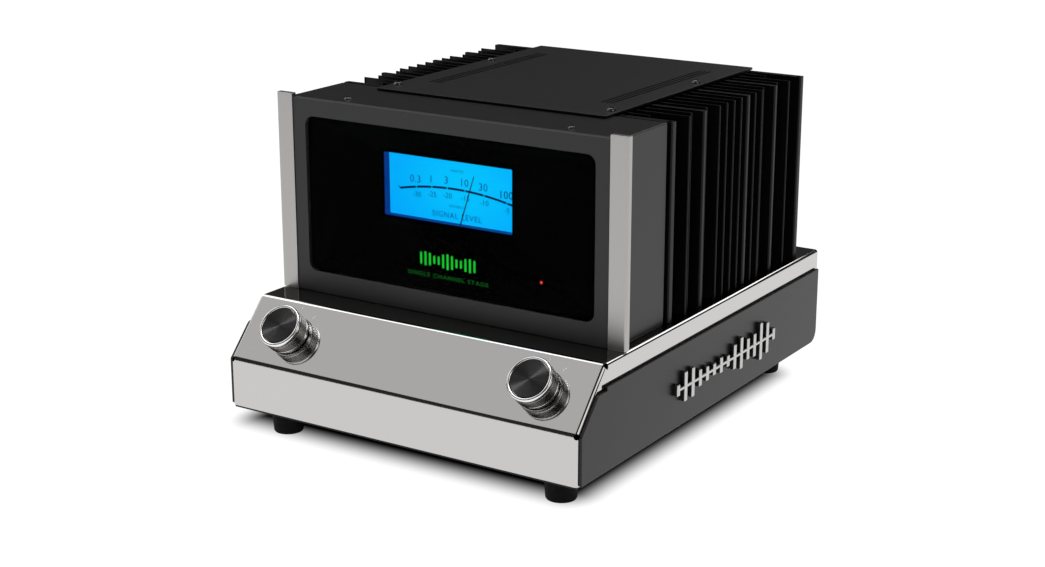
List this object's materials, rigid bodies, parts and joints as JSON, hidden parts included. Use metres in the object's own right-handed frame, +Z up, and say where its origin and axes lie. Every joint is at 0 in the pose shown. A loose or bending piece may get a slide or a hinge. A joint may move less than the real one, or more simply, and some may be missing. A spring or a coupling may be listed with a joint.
{
  "type": "power amplifier",
  "caption": "Monoblock power amplifier: folded steel chassis with slanted controls, lit meter behind glass, finned side heat sinks, rear connectors.",
  "frame": {"origin": "On the surface the feet stand on, under the middle of the whole object's box.", "axes": "+Z up; -Y towards the front with the meter and knobs, +Y towards the rear connectors; +X to the right seen from the front."},
  "size_m": [0.26, 0.345, 0.2097],
  "materials": {
    "polished_stainless": "mirror polished folded sheet",
    "satin_aluminium": "satin, clear anodised",
    "black_anodised": "black anodised",
    "grey_lacquer": "dark grey semi-gloss lacquer",
    "black_steel": "black textured powder coat",
    "front_glass": "clear pane, black printed behind outside the meter window",
    "rubber": "moulded matt black",
    "dial": "blue, lit from inside",
    "needle": "matt black",
    "green_light": "green, lit from behind",
    "red_led": "diffused red",
    "black_plastic": "moulded black",
    "red_plastic": "moulded red",
    "brass": "turned, gold plated where it is a contact",
    "copper_winding": "enamelled copper wire, taped",
    "circuit_board": "green solder mask",
    "capacitor_sleeve": "blue shrink sleeve",
    "fuse_glass": "clear tube"
  },
  "bodies": {
    "chassis": {"chassis_shell": "polished_stainless", "side_badge_left": "satin_aluminium", "side_badge_right": "satin_aluminium", "trim_left": "satin_aluminium", "trim_right": "satin_aluminium", "meter_movement": "satin_aluminium", "balanced_input": "satin_aluminium", "input_toggle_case": "satin_aluminium", "front_bezel": "black_anodised", "heat_sink_left": "black_anodised", "heat_sink_right": "black_anodised", "side_plate_left": "grey_lacquer", "side_plate_right": "grey_lacquer", "meter_housing": "grey_lacquer", "bottom_plate": "black_steel", "top_cover": "black_steel", "cover_screw_front_left": "black_steel", "cover_screw_front_right": "black_steel", "cover_screw_rear_left": "black_steel", "cover_screw_rear_right": "black_steel", "upper_rear_panel": "black_steel", "rear_panel": "black_steel", "transformer_clamp": "black_steel", "front_glass": "front_glass", "foot_front_left": "rubber", "foot_front_right": "rubber", "foot_rear_left": "rubber", "foot_rear_right": "rubber", "meter_dial": "dial", "emblem_light_guide": "green_light", "power_led": "red_led", "selector_switch": "black_plastic", "power_switch": "black_plastic", "meter_frame": "black_plastic", "output_devices_left": "black_plastic", "output_devices_right": "black_plastic", "mains_inlet": "black_plastic", "unbalanced_input": "brass", "speaker_post_positive": "brass", "speaker_post_negative": "brass", "power_transformer": "copper_winding", "amplifier_board": "circuit_board", "filter_capacitor_front": "capacitor_sleeve", "filter_capacitor_rear": "capacitor_sleeve"},
    "selector": {"selector_knob": "satin_aluminium", "selector_knob_disc": "black_anodised", "selector_shaft": "brass"},
    "power_control": {"power_knob": "satin_aluminium", "power_knob_disc": "black_anodised", "power_shaft": "brass"},
    "needle": {"meter_needle": "needle"},
    "fuse_tray": {"fuse_drawer": "black_plastic", "mains_fuse": "fuse_glass"},
    "toggle": {"input_toggle_lever": "satin_aluminium"},
    "latch_tab": {"balanced_input_tab": "satin_aluminium"},
    "collar_positive": {"speaker_collar_positive": "brass"},
    "collar_negative": {"speaker_collar_negative": "brass"},
    "nut_positive": {"speaker_nut_positive": "red_plastic"},
    "nut_negative": {"speaker_nut_negative": "black_plastic"}
  },
  "joints": [
    {"name": "selector_turn", "type": "hinge", "parent": "chassis", "child": "selector", "pos_m": [-0.09, -0.15292, 0.06675], "axis": [0, -0.7394, 0.6732], "range_deg": [-30, 30]},
    {"name": "power_turn", "type": "hinge", "parent": "chassis", "child": "power_control", "pos_m": [0.09, -0.15292, 0.06675], "axis": [0, -0.7394, 0.6732], "range_deg": [-30, 30]},
    {"name": "needle_swing", "type": "hinge", "parent": "chassis", "child": "needle", "pos_m": [0, -0.10987, 0.1155], "axis": [0, 1, 0], "range_deg": [-60.8, 25.2], "stiffness_Nm_per_rad": 0.0002},
    {"name": "fuse_drawer_slide", "type": "slide", "parent": "chassis", "child": "fuse_tray", "axis": [0, 1, 0], "range_m": [0, 0.012]},
    {"name": "input_toggle_tilt", "type": "hinge", "parent": "chassis", "child": "toggle", "pos_m": [0.036, 0.14713, 0.051], "axis": [-1, 0, 0], "range_deg": [0, 22]},
    {"name": "latch_tab_press", "type": "slide", "parent": "chassis", "child": "latch_tab", "axis": [0, -1, 0], "range_m": [0, 0.0015], "stiffness_N_per_m": 200},
    {"name": "collar_slide_positive", "type": "slide", "parent": "chassis", "child": "collar_positive", "axis": [0, 1, 0], "range_m": [0, 0.005]},
    {"name": "nut_turn_positive", "type": "hinge", "parent": "collar_positive", "child": "nut_positive", "pos_m": [0.079, 0.16313, 0.051], "axis": [0, 1, 0], "range_deg": [0, 1444]},
    {"name": "collar_slide_negative", "type": "slide", "parent": "chassis", "child": "collar_negative", "axis": [0, 1, 0], "range_m": [0, 0.005]},
    {"name": "nut_turn_negative", "type": "hinge", "parent": "collar_negative", "child": "nut_negative", "pos_m": [0.105, 0.16313, 0.051], "axis": [0, 1, 0], "range_deg": [0, 1444]}
  ],
  "couplings": [
    {"joint": "nut_turn_positive", "follows": "collar_slide_positive", "rad_per_m": 5026.5},
    {"joint": "nut_turn_negative", "follows": "collar_slide_negative", "rad_per_m": 5026.5}
  ]
}
